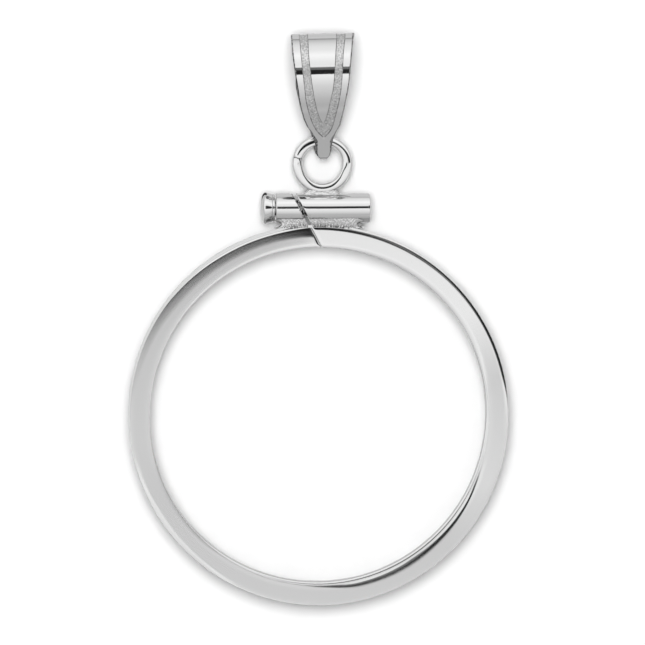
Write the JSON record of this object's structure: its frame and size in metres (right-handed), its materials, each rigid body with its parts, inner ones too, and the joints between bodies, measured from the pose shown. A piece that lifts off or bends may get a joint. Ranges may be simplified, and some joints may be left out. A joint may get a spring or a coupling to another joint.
{
  "type": "screw-top coin bezel pendant",
  "caption": "Pendant that holds a coin in a split ring with an inner channel, closed by a screw in a tube, with a jump ring and a tapered chain bail.",
  "frame": {"origin": "centre of the ring, on the plane of its flat back, which is the surface that it lies on", "axes": "+Z along the ring's axis towards its polished front, +Y from the ring's centre towards the bail, +X to the right seen from the front, away from the screw's head"},
  "size_m": [0.0236, 0.0357, 0.0043],
  "materials": {
    "white_gold": "white gold, bright rhodium plate, mirror polished, with two satin stripes on the bail"
  },
  "bodies": {
    "bezel": {"bezel": "white_gold"},
    "screw": {"screw": "white_gold"},
    "bail": {"bail": "white_gold"}
  },
  "joints": [
    {"name": "bail_swing", "type": "hinge", "parent": "bezel", "child": "bail", "pos_m": [0.0002, 0.01724, 0.00143], "axis": [1, 0, 0], "range_deg": [-139.5, 119.5]},
    {"name": "screw_out", "type": "slide", "parent": "bezel", "child": "screw", "axis": [-1, 0, 0], "range_m": [0, 0.0062]}
  ]
}
